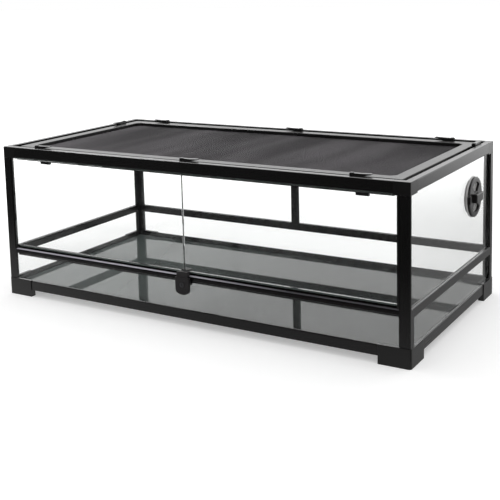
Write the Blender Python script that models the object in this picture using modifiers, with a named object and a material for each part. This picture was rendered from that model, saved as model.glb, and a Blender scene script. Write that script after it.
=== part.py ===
"""Glass terrarium: a black extruded frame on corner feet, twin glass doors over a sill,
a lift-off meshed top held by turn latches, a keyed centre lock and a rotary side vent.

Run with: blender --background --python part.py
Metres, +Z up, front at -Y, origin under the middle of the feet.
"""
from math import cos, pi, radians, sin

import bmesh
import bpy
from mathutils import Matrix, Vector

# Overall sizes of the frame, without the proud feet
LENGTH = 1.219
DEPTH = 0.610
HEIGHT = 0.428

# Clearances
FIT = 0.0003
RUNNING = 0.0004

# Sheets
GLASS = 0.005
FLOOR = 0.005
MESH = 0.0008
PANE_ARRIS = 0.0004

# Every extrusion has an outer wall, a glass slot and an inner wall
WALL = 0.006
SKIN = 0.0024
EDGE_ROUND = 0.0025
EDGE_BREAK = 0.001

# Base frame
BASE_LIFT = 0.019
BASE_RAIL = 0.027
SHELF_WIDTH = 0.024
SHELF_HEIGHT = 0.0087

# Corner feet
FOOT_LEG = 0.079
FOOT_WIDTH = 0.014
FOOT_HEIGHT = 0.0475
FOOT_PROUD = 0.002
FOOT_ROUND = 0.007
FOOT_SHELL = 0.003
FOOT_RECESS = 0.012

# Corner posts
POST_FACE = 0.028
JAMB_FACE = 0.026
POST_SIDE = 0.0215
POST_INNER_LEG = 0.0205
POST_WEB_STEP = 0.0005
POST_RIB = 0.0008
POST_RIB_PITCH = 0.0016
CENTRE_POST = 0.022
CENTRE_WEB = 0.003

# Middle rails and the front sill
MID_TOP = 0.137
MID_RAIL = 0.022
MID_WEB = 0.003
MID_SEAT = 0.0095
SILL_FACE = 0.015
SILL_FLAT = 0.002
SILL_NOSE = 0.007
MID_ROUND = 0.0015
STOP_RISE = 0.0095

# Top frame
TOP_RAIL = 0.028
TOP_WIDTH = 0.038
CAP_LEG = 0.042
RIM_WIDTH = 0.017
RIM_RISE = 0.0143
GROOVE = 0.0033
CAP_DROP = 0.003
STOP_DROP = 0.008
STOP_STEP = 0.0006
KEEPER_WIDTH = 0.032
KEEPER_DEPTH = 0.008
KEEPER_DROP = 0.019

# Doors
DOOR_SET_BACK = 0.0015
DOOR_GAP = 0.002
DOOR_BOTTOM_GAP = 0.0103
STILE_RADIUS = 0.0035
STILE_WIDTH = 0.006
STILE_GRIP = 0.0009
STILE_CLEARANCE = 0.0006
PIN_RADIUS = 0.0012
PIN_LENGTH = 0.0055
SEAL_LIFT = 0.0038
TOP_SEAL_HEIGHT = 0.0052
SEAL_THICKNESS = 0.0043
SEAL_ROUND = 0.0008

# Centre lock
LOCK_WIDTH = 0.042
LOCK_TOP = 0.133
LOCK_BOTTOM = 0.087
LOCK_BOWL = 0.013
LOCK_THICKNESS = 0.008
LOCK_STAND_OFF = 0.004
LOCK_BLOCK_WIDTH = 0.028
LOCK_BLOCK_BOTTOM = 0.108
LOCK_FACE_ROUND = 0.0012
CYLINDER_RADIUS = 0.0065
CYLINDER_DEPTH = 0.003
CYLINDER_PROUD = 0.0008
CYLINDER_HEIGHT = 0.1136
KEY_SLOT_LENGTH = 0.007
KEY_SLOT_WIDTH = 0.0013
KEY_SLOT_DEPTH = 0.0022
CATCH_WIDTH = 0.034
CATCH_STEM_WIDTH = 0.012
CATCH_STEM_DEPTH = 0.003
CATCH_STEM_LENGTH = 0.013
CATCH_CHAMFER = 0.003
KEEPER_PLATE_WIDTH = 0.024
KEEPER_PLATE_THICKNESS = 0.006
DOOR_STOP_LAP = 0.003
DOOR_STOP_GAP = 0.0005

# Screen top
SCREEN_SET_IN = 0.0325
SCREEN_FRAME = 0.030
SCREEN_BELOW_RIM = 0.002
SCREEN_CORNER = 0.012
SCREEN_OUTER_CORNER = 0.003
MESH_HEIGHT = 0.0017
MESH_GROOVE = 0.004
SCREEN_EDGE = 0.001

# Screen latches
LATCH_LONG = 0.0495
LATCH_SHORT = 0.005
LATCH_WIDTH = 0.011
LATCH_THICKNESS = 0.007
LATCH_TIP = 0.0025
LATCH_BOSS = 0.0048
LATCH_HEAD = 0.0012
LATCH_BEND = 0.022
LATCH_LIFT = 0.0055
LATCH_ROUND = 0.0006
LATCH_CORNER_INSET = 0.1285
LATCH_MIDDLE_X = 0.010
LATCH_LEFT_INSET = 0.115
LATCH_RIGHT_INSET = 0.070

# Rotary vent in the right-hand glass
VENT_INSET = 0.163
VENT_Z = 0.306
VENT_HOLE = 0.042
VENT_FLANGE = 0.0535
VENT_FLANGE_THICKNESS = 0.004
VENT_NECK_WALL = 0.003
VENT_GRILLE = 0.003
VENT_NUT_THICKNESS = 0.005
VENT_NUT_RADIUS = 0.0455
VENT_NUT_ROUND = 0.001
DIAL_RADIUS = 0.0525
DIAL_THICKNESS = 0.006
DIAL_ROUND = 0.002
GRIP_LENGTH = 0.052
GRIP_WIDTH = 0.024
GRIP_RISE = 0.0115
GRIP_ROUND = 0.003
NUB_LENGTH = 0.008
NUB_WIDTH = 0.021
NUB_RISE = 0.003
FAN_INNER = 0.015
FAN_OUTER = 0.040
FAN_ANGLE = 84.0
GRILLE_INNER = 0.018
GRILLE_OUTER = 0.038
GRILLE_ANGLE = 20.0
GRILLE_PITCH = 26.0

# Facets
MERGE = 0.000001
SLIVER = 0.0000000001
ARC_STEPS = 6
SHORT_ARC = 3
ROUND_STEPS = 48
PIN_STEPS = 16
BARREL_STEPS = 32

# Levels and offsets worked out from the sizes above
SLOT_BACK = WALL + GLASS + 2 * FIT
INNER_FACE = SLOT_BACK + SKIN
SHELF_TOP = BASE_LIFT + SHELF_HEIGHT
BASE_TOP = BASE_LIFT + BASE_RAIL
FLOOR_BOTTOM = SHELF_TOP + FIT
MID_BOTTOM = MID_TOP - MID_RAIL
MID_SEAT_LEVEL = MID_TOP - MID_SEAT
LOWER_GLASS_TOP = MID_SEAT_LEVEL - MID_WEB - FIT
SILL_BOTTOM = MID_TOP - SILL_FACE
SILL_SLOT_TOP = SILL_BOTTOM + SKIN
TOP_BOTTOM = HEIGHT - TOP_RAIL
LEDGE_TOP = HEIGHT - RIM_RISE
GLASS_TOP = TOP_BOTTOM + GROOVE - FIT
CAP_BOTTOM = TOP_BOTTOM - CAP_DROP
POST_BOTTOM = FOOT_HEIGHT + FIT
POST_JOINT = MID_TOP - FIT
POST_TOP = CAP_BOTTOM - FIT
DOOR_BOTTOM = MID_TOP + DOOR_BOTTOM_GAP
DOOR_TOP = CAP_BOTTOM - RUNNING
HINGE_X = LENGTH / 2 - JAMB_FACE - STILE_CLEARANCE - STILE_RADIUS
HINGE_Y = -DEPTH / 2 + DOOR_SET_BACK + GLASS / 2
HINGE_MIDDLE = (MID_TOP + DOOR_TOP) / 2
SEAL_FRONT = SLOT_BACK - FIT - SEAL_THICKNESS
SCREEN_TOP = HEIGHT - SCREEN_BELOW_RIM
SCREEN_BOTTOM = LEDGE_TOP + FIT
LATCH_OFFSET = (RIM_WIDTH + SCREEN_SET_IN) / 2
LATCH_CORNER_X = LENGTH / 2 - LATCH_CORNER_INSET
LATCH_LEFT_Y = DEPTH / 2 - LATCH_LEFT_INSET
LATCH_RIGHT_Y = DEPTH / 2 - LATCH_RIGHT_INSET
LATCH_UNDERSIDE = SCREEN_TOP + 2 * FIT
CATCH_TOP = DOOR_BOTTOM - FIT
VENT_Y = DEPTH / 2 - VENT_INSET

SIDES = {
    "front": (Vector((0, 1, 0)), DEPTH / 2),
    "rear": (Vector((0, -1, 0)), DEPTH / 2),
    "left": (Vector((1, 0, 0)), LENGTH / 2),
    "right": (Vector((-1, 0, 0)), LENGTH / 2),
}
CORNERS = {
    "front_left": (-1, -1),
    "front_right": (1, -1),
    "rear_left": (-1, 1),
    "rear_right": (1, 1),
}
UP = Vector((0, 0, 1))

for old in list(bpy.data.objects):
    bpy.data.objects.remove(old, do_unlink=True)

PARTS = bpy.data.collections.new("glass_terrarium")
CUTTERS = bpy.data.collections.new("cutters")
bpy.context.scene.collection.children.link(PARTS)
bpy.context.scene.collection.children.link(CUTTERS)


def make_material(name, colour, roughness, metallic=0.0, transmission=0.0, alpha=1.0):
    """A Principled BSDF material."""
    material = bpy.data.materials.new(name)
    material.use_nodes = True
    shader = material.node_tree.nodes["Principled BSDF"]
    shader.inputs["Base Color"].default_value = (*colour, 1.0)
    shader.inputs["Roughness"].default_value = roughness
    shader.inputs["Metallic"].default_value = metallic
    shader.inputs["Transmission Weight"].default_value = transmission
    shader.inputs["Alpha"].default_value = alpha
    material.diffuse_color = (*colour, alpha)
    return material


FRAME_BLACK = make_material("black_anodised_frame", (0.020, 0.019, 0.020), 0.34, 0.2)
PLASTIC_BLACK = make_material("black_moulded_plastic", (0.022, 0.021, 0.022), 0.42)
LOCK_BLACK = make_material("black_lock_casting", (0.030, 0.028, 0.029), 0.38, 0.3)
CYLINDER_GREY = make_material("grey_key_cylinder", (0.09, 0.09, 0.095), 0.30, 0.9)
CLEAR_GLASS = make_material("clear_glass", (0.93, 0.97, 0.95), 0.02, 0.0, 1.0, 0.3)
FLOOR_BLACK = make_material("black_floor_glass", (0.010, 0.012, 0.012), 0.04)
SEAL_GREY = make_material("grey_green_seal", (0.20, 0.24, 0.22), 0.5)
MESH_BLACK = make_material("black_woven_mesh", (0.06, 0.06, 0.062), 0.55, 0.4)


def rounded(corners, steps=ARC_STEPS):
    """Closed outline from (x, y, radius) corners, each radius drawn as an arc."""
    points = []
    count = len(corners)
    for index, (x, y, radius) in enumerate(corners):
        here = Vector((x, y))
        if radius == 0:
            points.append(here)
            continue
        before = (Vector(corners[index - 1][:2]) - here).normalized()
        after = (Vector(corners[(index + 1) % count][:2]) - here).normalized()
        half = before.angle(after) / 2
        centre = here + (before + after).normalized() * (radius / sin(half))
        reach = radius * cos(half) / sin(half)
        first = here + before * reach - centre
        last = here + after * reach - centre
        sweep = first.angle_signed(last)
        for step in range(steps + 1):
            turn = Matrix.Rotation(-sweep * step / steps, 2)
            points.append(centre + turn @ first)
    return points


def rectangle(x0, y0, x1, y1, radius=0.0):
    """Rectangular outline with one corner radius."""
    return rounded([(x0, y0, radius), (x1, y0, radius), (x1, y1, radius), (x0, y1, radius)])


def circle(x, y, radius, steps=ROUND_STEPS):
    """Round outline."""
    return [Vector((x + radius * cos(2 * pi * k / steps), y + radius * sin(2 * pi * k / steps)))
            for k in range(steps)]


def ring_sector(inner, outer, middle, width, steps=8):
    """Outline of a slot between two radii, centred on an angle in degrees."""
    angles = [radians(middle - width / 2 + width * k / steps) for k in range(steps + 1)]
    outside = [Vector((outer * cos(a), outer * sin(a))) for a in angles]
    inside = [Vector((inner * cos(a), inner * sin(a))) for a in reversed(angles)]
    return outside + inside


def outline_mesh(name, loops, low, high):
    """Closed mesh from flat outlines, holes included, extruded from low to high along Z."""
    curve = bpy.data.curves.new(name, "CURVE")
    curve.dimensions = "2D"
    curve.fill_mode = "BOTH"
    curve.extrude = (high - low) / 2
    for loop in loops:
        spline = curve.splines.new("POLY")
        spline.points.add(len(loop) - 1)
        for point, place in zip(spline.points, loop):
            point.co = (place[0], place[1], 0, 1)
        spline.use_cyclic_u = True
    guide = bpy.data.objects.new(name, curve)
    bpy.context.scene.collection.objects.link(guide)
    graph = bpy.context.evaluated_depsgraph_get()
    mesh = bpy.data.meshes.new_from_object(guide.evaluated_get(graph))
    bpy.data.objects.remove(guide, do_unlink=True)
    bpy.data.curves.remove(curve)
    work = bmesh.new()
    work.from_mesh(mesh)
    bmesh.ops.remove_doubles(work, verts=work.verts, dist=MERGE)
    if len(loops) == 1:
        caps = [face for face in work.faces if abs(face.normal.z) > 0.5 or face.calc_area() < SLIVER]
        bmesh.ops.dissolve_faces(work, faces=caps)
    bmesh.ops.translate(work, verts=work.verts, vec=(0, 0, (low + high) / 2))
    bmesh.ops.recalc_face_normals(work, faces=work.faces)
    work.to_mesh(mesh)
    work.free()
    mesh.materials.clear()
    mesh.name = name
    return mesh


def box_mesh(name, low, high):
    """Closed box between two corners."""
    low, high = Vector(low), Vector(high)
    work = bmesh.new()
    bmesh.ops.create_cube(work, size=1.0)
    bmesh.ops.scale(work, verts=work.verts, vec=high - low)
    bmesh.ops.translate(work, verts=work.verts, vec=(low + high) / 2)
    mesh = bpy.data.meshes.new(name)
    work.to_mesh(mesh)
    work.free()
    return mesh


def piece(name, mesh, material, matrix=None):
    """A named part of the terrarium."""
    shape = bpy.data.objects.new(name, mesh)
    if not mesh.materials:
        mesh.materials.append(material)
    PARTS.objects.link(shape)
    if matrix is not None:
        shape.matrix_world = matrix
    return shape


def cutter(name, mesh, matrix=None):
    """A hidden shape that cuts or joins a part."""
    shape = bpy.data.objects.new(name, mesh)
    CUTTERS.objects.link(shape)
    shape.hide_render = True
    shape.display_type = "WIRE"
    if matrix is not None:
        shape.matrix_world = matrix
    return shape


def boolean(shape, other, operation="DIFFERENCE"):
    """Live Boolean modifier with the exact solver."""
    modifier = shape.modifiers.new(other.name, "BOOLEAN")
    modifier.operation = operation
    modifier.solver = "EXACT"
    modifier.object = other


def soften(shape, width, segments=1, angle=40):
    """Live bevel on the sharp edges."""
    modifier = shape.modifiers.new("edges", "BEVEL")
    modifier.width = width
    modifier.segments = segments
    modifier.limit_method = "ANGLE"
    modifier.angle_limit = radians(angle)


def smooth(mesh, angle=35):
    """Smooth shading that keeps the real edges sharp."""
    mesh.shade_smooth()
    mesh.set_sharp_from_angle(angle=radians(angle))


def bake(shape, name):
    """Mesh of a shape with its modifiers applied."""
    bpy.context.view_layer.update()
    graph = bpy.context.evaluated_depsgraph_get()
    mesh = bpy.data.meshes.new_from_object(shape.evaluated_get(graph))
    mesh.name = name
    return mesh


def run_matrix(side):
    """Outline x points inwards from the side's face, y up, and the extrusion runs along the side."""
    inward, reach = SIDES[side]
    along = inward.cross(UP)
    matrix = Matrix((inward, UP, along)).transposed().to_4x4()
    matrix.translation = inward * -reach
    return matrix


def face_matrix(side):
    """Outline x runs along the side, y up, and the extrusion points outwards from its face."""
    inward, reach = SIDES[side]
    along = inward.cross(UP)
    matrix = Matrix((along, UP, -inward)).transposed().to_4x4()
    matrix.translation = inward * -reach
    return matrix


def side_reach(side):
    """Half the length of a side of the frame."""
    return LENGTH / 2 if side in ("front", "rear") else DEPTH / 2


def at_corner(outline, corner):
    """Plan outline given as distances in from a corner's two faces, placed at that corner."""
    across, back = CORNERS[corner]
    return [Vector((across * (LENGTH / 2 - a), back * (DEPTH / 2 - b))) for a, b in outline]


def corner_box(name, corner, low, high):
    """Box cutter given as distances in from a corner's two faces, and heights."""
    (ax, ay), (bx, by) = at_corner([low[:2], high[:2]], corner)
    x0, x1 = sorted((ax, bx))
    y0, y1 = sorted((ay, by))
    return cutter(name, box_mesh(name, (x0, y0, low[2]), (x1, y1, high[2])))


def rail(name, side, profile, end_gap, material=FRAME_BLACK):
    """Extruded rail along a side, that far short of the frame's corners at both ends."""
    half = side_reach(side) - end_gap
    mesh = outline_mesh(name, [profile], -half, half)
    smooth(mesh)
    return piece(name, mesh, material, run_matrix(side))


def pane(name, low, high, material=CLEAR_GLASS):
    """Flat sheet with ground edges."""
    sheet = piece(name, box_mesh(name, low, high), material)
    soften(sheet, PANE_ARRIS)
    return sheet


def foot(corner):
    """Moulded corner shoe that wraps the base rails, hollow underneath."""
    name = "foot_" + corner
    shoe = rounded([(-FOOT_PROUD, -FOOT_PROUD, FOOT_ROUND), (FOOT_LEG, -FOOT_PROUD, 0),
                    (FOOT_LEG, FOOT_WIDTH, 0), (FOOT_WIDTH, FOOT_WIDTH, 0),
                    (FOOT_WIDTH, FOOT_LEG, 0), (-FOOT_PROUD, FOOT_LEG, 0)])
    mesh = outline_mesh(name, [at_corner(shoe, corner)], 0, FOOT_HEIGHT)
    smooth(mesh)
    shape = piece(name, mesh, PLASTIC_BLACK)
    boolean(shape, corner_box(name + "_rails", corner, (-FIT, -FIT, BASE_LIFT - FIT),
                              (2 * FOOT_LEG, 2 * FOOT_LEG, BASE_TOP + FIT)))
    boolean(shape, corner_box(name + "_above", corner, (WALL + FIT, WALL + FIT, BASE_LIFT),
                              (2 * FOOT_LEG, 2 * FOOT_LEG, 2 * FOOT_HEIGHT)))
    low, far, side = FOOT_SHELL - FOOT_PROUD, FOOT_LEG - FOOT_SHELL, FOOT_WIDTH - FOOT_SHELL
    hollow = rounded([(low, low, FOOT_ROUND - FOOT_SHELL), (far, low, 0), (far, side, 0),
                      (side, side, 0), (side, far, 0), (low, far, 0)])
    boolean(shape, cutter(name + "_hollow", outline_mesh(name + "_hollow", [at_corner(hollow, corner)],
                                                         -FOOT_RECESS, FOOT_RECESS)))


def corner_profile(ribbed):
    """Plan of a corner post: outer angle, inner angle and the web between the two glass slots."""
    web = INNER_FACE - POST_WEB_STEP
    outline = [(0, 0, EDGE_ROUND), (POST_FACE, 0, 0), (POST_FACE, WALL, 0), (web, WALL, 0),
               (web, SLOT_BACK, 0), (POST_INNER_LEG, SLOT_BACK, 0)]
    face_ribs, side_ribs = [], []
    if ribbed:
        place = INNER_FACE + POST_RIB_PITCH
        while place + POST_RIB_PITCH / 2 < POST_INNER_LEG:
            rib = [(place + POST_RIB_PITCH / 2, 0), (place + POST_RIB_PITCH / 4, POST_RIB),
                   (place - POST_RIB_PITCH / 4, POST_RIB), (place - POST_RIB_PITCH / 2, 0)]
            face_ribs = [(along, INNER_FACE + out, 0) for along, out in rib] + face_ribs
            side_ribs += [(INNER_FACE + out, along, 0) for along, out in reversed(rib)]
            place += 1.5 * POST_RIB_PITCH
    outline += [(POST_INNER_LEG, INNER_FACE, 0)] + face_ribs + [(INNER_FACE, INNER_FACE, 0)] + side_ribs
    outline += [(INNER_FACE, POST_INNER_LEG, 0), (SLOT_BACK, POST_INNER_LEG, 0), (SLOT_BACK, web, 0),
                (WALL, web, 0), (WALL, POST_SIDE, 0), (0, POST_SIDE, 0)]
    return rounded(outline)


def upright(name, corner, outline, low, high):
    """Post extruded upwards at a corner."""
    mesh = outline_mesh(name, [at_corner(outline, corner)], low, high)
    smooth(mesh)
    return piece(name, mesh, FRAME_BLACK)


def sill_profile():
    """Front middle rail: round nose, slot for the lower glass and the stop behind the doors."""
    return rounded([(SILL_FLAT, SILL_BOTTOM, 0), (WALL, SILL_BOTTOM, 0), (WALL, SILL_SLOT_TOP, 0),
                    (SLOT_BACK, SILL_SLOT_TOP, 0), (SLOT_BACK, MID_BOTTOM, 0), (INNER_FACE, MID_BOTTOM, 0),
                    (INNER_FACE, MID_TOP + STOP_RISE, 0), (SLOT_BACK, MID_TOP + STOP_RISE, 0),
                    (SLOT_BACK, MID_TOP, 0), (0, MID_TOP, SILL_NOSE),
                    (0, SILL_BOTTOM + SILL_FLAT, EDGE_BREAK)])


def mid_profile():
    """Side and rear middle rail: an H with one slot over the lower glass and one under the upper."""
    web = MID_SEAT_LEVEL - MID_WEB
    return rounded([(0, MID_BOTTOM, EDGE_BREAK), (WALL, MID_BOTTOM, 0), (WALL, web, 0), (SLOT_BACK, web, 0),
                    (SLOT_BACK, MID_BOTTOM, 0), (INNER_FACE, MID_BOTTOM, 0), (INNER_FACE, MID_TOP, 0),
                    (SLOT_BACK, MID_TOP, 0), (SLOT_BACK, MID_SEAT_LEVEL, 0), (WALL, MID_SEAT_LEVEL, 0),
                    (WALL, MID_TOP, 0), (0, MID_TOP, MID_ROUND)], SHORT_ARC)


def base_profile():
    """Base rail: outer wall and a box shelf that carries the glass and the floor."""
    return rounded([(0, BASE_LIFT, EDGE_BREAK), (SHELF_WIDTH, BASE_LIFT, 0), (SHELF_WIDTH, SHELF_TOP, 0),
                    (WALL, SHELF_TOP, 0), (WALL, BASE_TOP, EDGE_BREAK), (0, BASE_TOP, EDGE_ROUND)])


def top_profile(grooved):
    """Top rail: raised rim outside, ledge for the screen inside, glass groove or door stop below."""
    outline = [(0, TOP_BOTTOM, EDGE_BREAK)]
    underside = TOP_BOTTOM
    if grooved:
        outline += [(WALL, TOP_BOTTOM, 0), (WALL, TOP_BOTTOM + GROOVE, 0),
                    (SLOT_BACK, TOP_BOTTOM + GROOVE, 0), (SLOT_BACK, TOP_BOTTOM, 0)]
    else:
        underside += STOP_STEP
        outline += [(SLOT_BACK, TOP_BOTTOM, 0), (SLOT_BACK, TOP_BOTTOM - STOP_DROP, 0),
                    (INNER_FACE, TOP_BOTTOM - STOP_DROP, 0), (INNER_FACE, underside, 0)]
    outline += [(TOP_WIDTH, underside, 0), (TOP_WIDTH, LEDGE_TOP, 0), (RIM_WIDTH, LEDGE_TOP, 0),
                (RIM_WIDTH, HEIGHT, EDGE_BREAK), (0, HEIGHT, EDGE_ROUND)]
    return rounded(outline)


def top_cap(corner):
    """Corner elbow of the top frame, with the rim and the screen ledge carried round."""
    name = "top_corner_" + corner
    plan = rounded([(0, 0, EDGE_ROUND), (CAP_LEG, 0, 0), (CAP_LEG, TOP_WIDTH, 0), (TOP_WIDTH, TOP_WIDTH, 0),
                    (TOP_WIDTH, CAP_LEG, 0), (0, CAP_LEG, 0)])
    mesh = outline_mesh(name, [at_corner(plan, corner)], CAP_BOTTOM, HEIGHT)
    smooth(mesh)
    shape = piece(name, mesh, PLASTIC_BLACK)
    boolean(shape, corner_box(name + "_under", corner, (WALL, WALL, 0),
                              (2 * CAP_LEG, 2 * CAP_LEG, TOP_BOTTOM + GROOVE)))
    boolean(shape, corner_box(name + "_ledge", corner, (RIM_WIDTH, RIM_WIDTH, LEDGE_TOP),
                              (2 * CAP_LEG, 2 * CAP_LEG, 2 * HEIGHT)))
    return shape


def pin_hole(name, x, low, high):
    """Cutter for a door pin's bore."""
    mesh = outline_mesh(name, [circle(x, HINGE_Y, PIN_RADIUS + FIT, PIN_STEPS)], low, high)
    return cutter(name, mesh)


def build_base():
    """Feet, base rails, floor, lower posts and lower glass."""
    for corner in CORNERS:
        foot(corner)
        post = upright("lower_post_" + corner, corner, corner_profile(False), POST_BOTTOM, POST_JOINT)
        if corner.startswith("front"):
            boolean(post, corner_box("seat_" + corner, corner, (WALL, WALL, MID_SEAT_LEVEL - FIT),
                                     (2 * POST_FACE, 2 * POST_FACE, 2 * MID_TOP)))
    for side in SIDES:
        rail("base_rail_" + side, side, base_profile(), 0 if side in ("front", "rear") else SHELF_WIDTH + FIT)
    wide, deep = LENGTH / 2 - SLOT_BACK - FIT, DEPTH / 2 - SLOT_BACK - FIT
    pane("floor_panel", (-wide, -deep, FLOOR_BOTTOM), (wide, deep, FLOOR_BOTTOM + FLOOR), FLOOR_BLACK)
    end_x, end_y = LENGTH / 2 - INNER_FACE - FIT, DEPTH / 2 - INNER_FACE - FIT
    near, far = WALL + FIT, WALL + FIT + GLASS
    for side, back in (("front", -1), ("rear", 1)):
        top = SILL_SLOT_TOP - FIT if side == "front" else LOWER_GLASS_TOP
        y0, y1 = sorted((back * (DEPTH / 2 - near), back * (DEPTH / 2 - far)))
        pane("lower_glass_" + side, (-end_x, y0, FLOOR_BOTTOM), (end_x, y1, top))
    for side, across in (("left", -1), ("right", 1)):
        x0, x1 = sorted((across * (LENGTH / 2 - near), across * (LENGTH / 2 - far)))
        pane("lower_glass_" + side, (x0, -end_y, FLOOR_BOTTOM), (x1, end_y, LOWER_GLASS_TOP))


def build_middle():
    """Middle rails and the front sill with the lock's keeper plate inside."""
    for side in ("rear", "left", "right"):
        rail("middle_rail_" + side, side, mid_profile(), FIT + (POST_FACE if side == "rear" else POST_SIDE))
    sill = rail("front_sill", "front", sill_profile(), POST_FACE + FIT)
    half = KEEPER_PLATE_WIDTH / 2
    lap = SKIN / 2
    plate_back = -DEPTH / 2 + INNER_FACE + KEEPER_PLATE_THICKNESS
    stop_top = DOOR_BOTTOM + DOOR_STOP_LAP
    plate = box_mesh("sill_keeper", (-half, -DEPTH / 2 + INNER_FACE - lap, LOCK_BLOCK_BOTTOM),
                     (half, plate_back, stop_top))
    boolean(sill, cutter("sill_keeper", plate), "UNION")
    door_back = -DEPTH / 2 + DOOR_SET_BACK + GLASS
    pad = box_mesh("door_stop", (-half + FIT, door_back + DOOR_STOP_GAP, MID_TOP + STOP_RISE + FIT),
                   (half - FIT, plate_back - FIT, stop_top - FIT))
    boolean(sill, cutter("door_stop", pad), "UNION")
    for name, across in (("left", -1), ("right", 1)):
        boolean(sill, pin_hole("sill_bore_" + name, across * HINGE_X, MID_TOP - PIN_LENGTH, MID_TOP + WALL))


def build_upper():
    """Door jambs, ribbed rear posts, rear centre post and the fixed upper glass."""
    for corner in ("front_left", "front_right"):
        jamb = rounded([(0, 0, EDGE_ROUND), (JAMB_FACE, 0, EDGE_BREAK), (JAMB_FACE, WALL, 0), (0, WALL, 0)])
        upright("door_jamb_" + corner[6:], corner, jamb, MID_TOP, POST_TOP)
    for corner in ("rear_left", "rear_right"):
        upright("upper_post_" + corner, corner, corner_profile(True), MID_TOP, POST_TOP)
    flange, web = CENTRE_POST / 2, CENTRE_WEB / 2
    section = [(-flange, 0, EDGE_BREAK), (flange, 0, EDGE_BREAK), (flange, WALL, 0), (web, WALL, 0),
               (web, SLOT_BACK, 0), (flange, SLOT_BACK, 0), (flange, INNER_FACE, 0),
               (-flange, INNER_FACE, 0), (-flange, SLOT_BACK, 0), (-web, SLOT_BACK, 0),
               (-web, WALL, 0), (-flange, WALL, 0)]
    plan = [Vector((x, DEPTH / 2 - inset)) for x, inset in rounded(section, SHORT_ARC)]
    mesh = outline_mesh("rear_centre_post", [plan], MID_TOP + FIT, TOP_BOTTOM - FIT)
    smooth(mesh)
    piece("rear_centre_post", mesh, FRAME_BLACK)

    near, far = WALL + FIT, WALL + FIT + GLASS
    low, high = MID_SEAT_LEVEL + FIT, GLASS_TOP
    end_x = LENGTH / 2 - INNER_FACE - FIT
    for name, across in (("left", -1), ("right", 1)):
        x0, x1 = sorted((across * (web + FIT), across * end_x))
        pane("rear_glass_" + name, (x0, DEPTH / 2 - far, low), (x1, DEPTH / 2 - near, high))
    front, back = -DEPTH / 2 + WALL + FIT, DEPTH / 2 - INNER_FACE - FIT
    pane("side_glass_left", (-LENGTH / 2 + near, front, low), (-LENGTH / 2 + far, back, high))
    loops = [rectangle(front, low, back, high), circle(VENT_Y, VENT_Z, VENT_HOLE)]
    mesh = outline_mesh("side_glass_right", loops, -far, -near)
    smooth(mesh)
    piece("side_glass_right", mesh, CLEAR_GLASS, face_matrix("right"))


def build_top():
    """Top rails with their latch keepers, and the corner elbows."""
    for side in SIDES:
        shape = rail("top_rail_" + side, side, top_profile(side != "front"), CAP_LEG + FIT)
        if side != "front":
            continue
        for name, across in (("left", -1), ("right", 1)):
            middle, back = across * LATCH_CORNER_X, -DEPTH / 2 + TOP_WIDTH + FIT
            x0, x1 = middle - KEEPER_WIDTH / 2, middle + KEEPER_WIDTH / 2
            keeper = box_mesh("keeper_" + name, (x0, back - KEEPER_DEPTH, TOP_BOTTOM - KEEPER_DROP),
                              (x1, back, TOP_BOTTOM + SKIN))
            boolean(shape, cutter("keeper_" + name, keeper), "UNION")
    for corner in CORNERS:
        shape = top_cap(corner)
        if corner.startswith("front"):
            boolean(shape, pin_hole("cap_bore_" + corner, CORNERS[corner][0] * HINGE_X,
                                    CAP_BOTTOM - WALL, DOOR_TOP + PIN_LENGTH + FIT))


def build_doors():
    """Two glass leaves, each gripped by a hinge stile with a pin at its top and bottom."""
    for name, across in (("left", -1), ("right", 1)):
        front = -DEPTH / 2 + DOOR_SET_BACK
        hinge_edge = across * (HINGE_X + STILE_RADIUS + STILE_GRIP - STILE_WIDTH)
        x0, x1 = sorted((hinge_edge, across * DOOR_GAP / 2))
        pane("door_glass_" + name, (x0, front, DOOR_BOTTOM), (x1, front + GLASS, DOOR_TOP))
        end, slot = STILE_WIDTH - STILE_RADIUS, GLASS / 2 + FIT
        arc = [Vector((-STILE_RADIUS * cos(radians(t)), STILE_RADIUS * sin(radians(t))))
               for t in range(-90, 91, 15)]
        grip = end - STILE_GRIP - FIT
        channel = [Vector(p) for p in ((end, STILE_RADIUS), (end, slot), (grip, slot), (grip, -slot),
                                       (end, -slot), (end, -STILE_RADIUS))]
        plan = [Vector((-across * p.x, p.y)) for p in arc + channel]
        mesh = outline_mesh("door_stile_" + name, [plan], MID_TOP + 2 * FIT - HINGE_MIDDLE,
                            DOOR_TOP - HINGE_MIDDLE)
        smooth(mesh)
        stile = piece("door_stile_" + name, mesh, PLASTIC_BLACK,
                      Matrix.Translation((across * HINGE_X, HINGE_Y, HINGE_MIDDLE)))
        for end_name, low, high in (("foot", MID_TOP - PIN_LENGTH + FIT, DOOR_BOTTOM),
                                    ("head", DOOR_TOP - WALL, DOOR_TOP + PIN_LENGTH)):
            pin = outline_mesh("pin", [circle(0, 0, PIN_RADIUS, PIN_STEPS)], low, high)
            boolean(stile, cutter("pin_" + end_name + "_" + name, pin,
                                  Matrix.Translation((across * HINGE_X, HINGE_Y, 0))), "UNION")
    rail_end = LENGTH / 2 - HINGE_X + STILE_WIDTH
    under_rail = TOP_BOTTOM - FIT
    for name, low, high in (("bottom", MID_TOP + SEAL_LIFT, MID_TOP + STOP_RISE),
                            ("top", under_rail - TOP_SEAL_HEIGHT, under_rail)):
        profile = rectangle(SEAL_FRONT, low, SLOT_BACK - FIT, high, SEAL_ROUND)
        rail("door_seal_" + name, "front", profile, rail_end, SEAL_GREY)


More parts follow.
